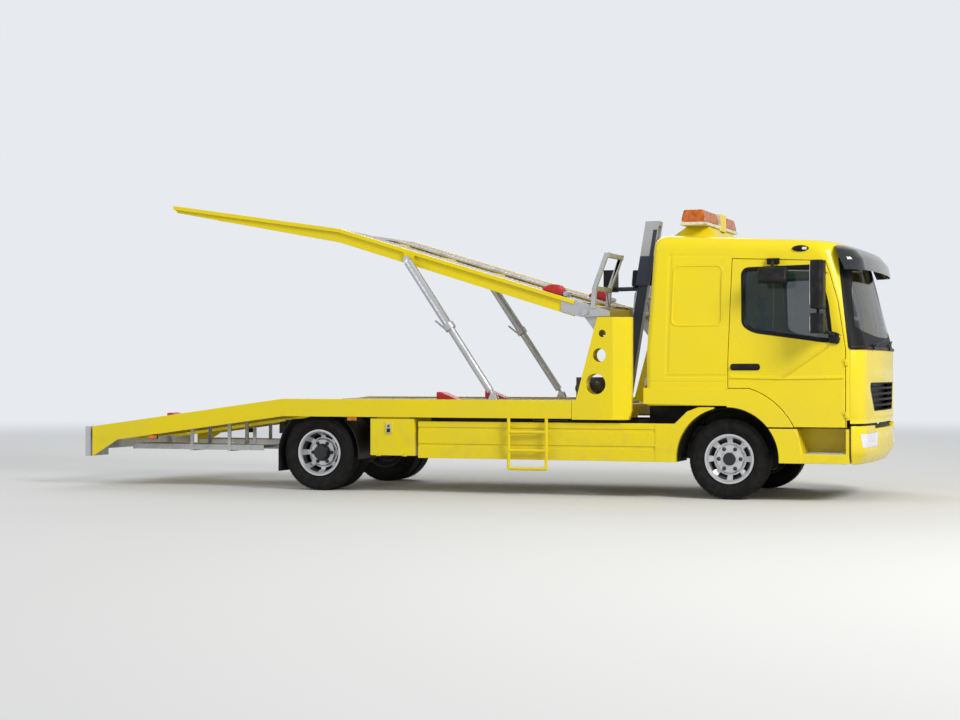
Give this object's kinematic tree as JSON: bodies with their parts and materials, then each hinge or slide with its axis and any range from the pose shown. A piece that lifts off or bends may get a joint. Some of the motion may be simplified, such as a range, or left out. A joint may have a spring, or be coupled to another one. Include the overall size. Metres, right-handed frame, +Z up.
{
  "type": "tow truck",
  "caption": "Two-deck recovery truck: forward-control sleeper cab, fixed lower bed with sloping tail, tilting upper deck on telescopic props.",
  "frame": {"origin": "on the ground, at the middle of the box round the truck", "axes": "+X forward along the truck, +Y to its left, +Z up"},
  "size_m": [8.368, 2.78, 2.9499],
  "materials": {
    "cab_yellow": "gloss paint",
    "deck_yellow": "gloss paint, lightly worn",
    "black_chassis": "satin chassis black",
    "galvanised": "hot-dip galvanised",
    "black_plastic": "grained black plastic",
    "smoked_plastic": "smoked acrylic",
    "amber_plastic": "amber lens",
    "white_plastic": "white base",
    "clear_lens": "clear lens over a reflector",
    "tinted_glass": "tinted",
    "seat_cloth": "woven cloth",
    "tyre_rubber": "radial tyre",
    "wheel_silver": "silver paint",
    "cast_grey": "cast, bare",
    "red_paint": "red paint, worn",
    "dash_plastic": "moulded"
  },
  "bodies": {
    "chassis": {"chassis_frame": "black_chassis", "front_axle_beam": "cast_grey", "rear_axle": "black_chassis", "leaf_springs": "black_chassis", "engine": "cast_grey", "tanks": "black_chassis", "front_bumper": "cab_yellow", "headlights": "clear_lens", "cab_steps": "cab_yellow", "side_skirts": "deck_yellow", "toolboxes": "deck_yellow", "ladder": "deck_yellow", "rear_mudguards": "black_plastic", "lower_deck_frame": "deck_yellow", "lower_deck_floor": "galvanised", "towers": "deck_yellow", "hinge_brackets": "galvanised", "lift_mast": "galvanised", "winch": "cast_grey", "rear_light_bar": "galvanised", "tow_jaw": "cast_grey", "loading_ramps": "galvanised", "prop_feet": "galvanised", "wheel_chocks": "red_paint"},
    "cab": {"cab_shell": "cab_yellow", "front_panel": "cab_yellow", "grille": "black_plastic", "windscreen": "tinted_glass", "sun_visor": "smoked_plastic", "beacon_pedestal": "cab_yellow", "beacon_base": "white_plastic", "beacon_lenses": "amber_plastic", "seats": "seat_cloth", "dashboard": "dash_plastic", "steering_wheel": "dash_plastic"},
    "upper_deck": {"upper_deck_frame": "deck_yellow", "upper_deck_floor": "galvanised", "wheel_stops": "galvanised"},
    "door_right": {"door_right": "cab_yellow", "door_glass_right": "tinted_glass", "mirrors_right": "black_plastic"},
    "knuckle_right": {"knuckle_right": "cast_grey"},
    "wheel_front_right": {"rim_front_right": "wheel_silver", "tyre_front_right": "tyre_rubber"},
    "wheels_rear_right": {"rims_rear_right": "wheel_silver", "tyres_rear_right": "tyre_rubber"},
    "toolbox_door_right": {"toolbox_door_right": "deck_yellow"},
    "prop_lower_right": {"prop_lower_right": "galvanised"},
    "prop_upper_right": {"prop_upper_right": "galvanised"},
    "door_left": {"door_left": "cab_yellow", "door_glass_left": "tinted_glass", "mirrors_left": "black_plastic"},
    "knuckle_left": {"knuckle_left": "cast_grey"},
    "wheel_front_left": {"rim_front_left": "wheel_silver", "tyre_front_left": "tyre_rubber"},
    "wheels_rear_left": {"rims_rear_left": "wheel_silver", "tyres_rear_left": "tyre_rubber"},
    "toolbox_door_left": {"toolbox_door_left": "deck_yellow"},
    "prop_lower_left": {"prop_lower_left": "galvanised"},
    "prop_upper_left": {"prop_upper_left": "galvanised"}
  },
  "joints": [
    {"name": "cab_tilt", "type": "hinge", "parent": "chassis", "child": "cab", "pos_m": [4.046, 0, 0.6], "axis": [0, 1, 0], "range_deg": [0, 45]},
    {"name": "upper_deck_tilt", "type": "hinge", "parent": "chassis", "child": "upper_deck", "pos_m": [1.439, 0, 1.785], "axis": [0, 1, 0], "range_deg": [-25, 0]},
    {"name": "steer_right", "type": "hinge", "parent": "chassis", "child": "knuckle_right", "pos_m": [2.846, -0.76, 0.3835], "axis": [0, 0, 1], "range_deg": [-35, 35]},
    {"name": "front_wheel_spin_right", "type": "hinge", "parent": "knuckle_right", "child": "wheel_front_right", "pos_m": [2.846, -0.915, 0.3835], "axis": [0, 1, 0], "continuous": true},
    {"name": "rear_wheels_spin_right", "type": "hinge", "parent": "chassis", "child": "wheels_rear_right", "pos_m": [-1.374, -0.85, 0.3835], "axis": [0, 1, 0], "continuous": true},
    {"name": "door_swing_right", "type": "hinge", "parent": "cab", "child": "door_right", "pos_m": [3.95, -1.106, 1.05], "axis": [0, 0, 1], "range_deg": [0, 70]},
    {"name": "toolbox_door_drop_right", "type": "hinge", "parent": "chassis", "child": "toolbox_door_right", "pos_m": [-0.5405, -1.139, 0.371], "axis": [1, 0, 0], "range_deg": [0, 95]},
    {"name": "prop_swing_right", "type": "hinge", "parent": "chassis", "child": "prop_lower_right", "pos_m": [0.528, -1.108, 0.965], "axis": [0, 1, 0], "range_deg": [-28.5, 1]},
    {"name": "prop_slide_right", "type": "slide", "parent": "prop_lower_right", "child": "prop_upper_right", "axis": [-0.5609, 0, 0.8279], "range_m": [-0.55, 0.01]},
    {"name": "steer_left", "type": "hinge", "parent": "chassis", "child": "knuckle_left", "pos_m": [2.846, 0.76, 0.3835], "axis": [0, 0, 1], "range_deg": [-35, 35]},
    {"name": "front_wheel_spin_left", "type": "hinge", "parent": "knuckle_left", "child": "wheel_front_left", "pos_m": [2.846, 0.915, 0.3835], "axis": [0, 1, 0], "continuous": true},
    {"name": "rear_wheels_spin_left", "type": "hinge", "parent": "chassis", "child": "wheels_rear_left", "pos_m": [-1.374, 0.85, 0.3835], "axis": [0, 1, 0], "continuous": true},
    {"name": "door_swing_left", "type": "hinge", "parent": "cab", "child": "door_left", "pos_m": [3.95, 1.106, 1.05], "axis": [0, 0, -1], "range_deg": [0, 70]},
    {"name": "toolbox_door_drop_left", "type": "hinge", "parent": "chassis", "child": "toolbox_door_left", "pos_m": [-0.5405, 1.139, 0.371], "axis": [-1, 0, 0], "range_deg": [0, 95]},
    {"name": "prop_swing_left", "type": "hinge", "parent": "chassis", "child": "prop_lower_left", "pos_m": [0.528, 1.108, 0.965], "axis": [0, 1, 0], "range_deg": [-28.5, 1]},
    {"name": "prop_slide_left", "type": "slide", "parent": "prop_lower_left", "child": "prop_upper_left", "axis": [-0.5609, 0, 0.8279], "range_m": [-0.55, 0.01]}
  ],
  "couplings": [
    {"joint": "steer_right", "follows": "steer_left", "ratio": 1},
    {"joint": "prop_swing_right", "follows": "upper_deck_tilt", "ratio": 1.0879},
    {"joint": "prop_slide_right", "follows": "upper_deck_tilt", "m_per_rad": 1.2102},
    {"joint": "prop_swing_left", "follows": "upper_deck_tilt", "ratio": 1.0879},
    {"joint": "prop_slide_left", "follows": "upper_deck_tilt", "m_per_rad": 1.2102}
  ]
}
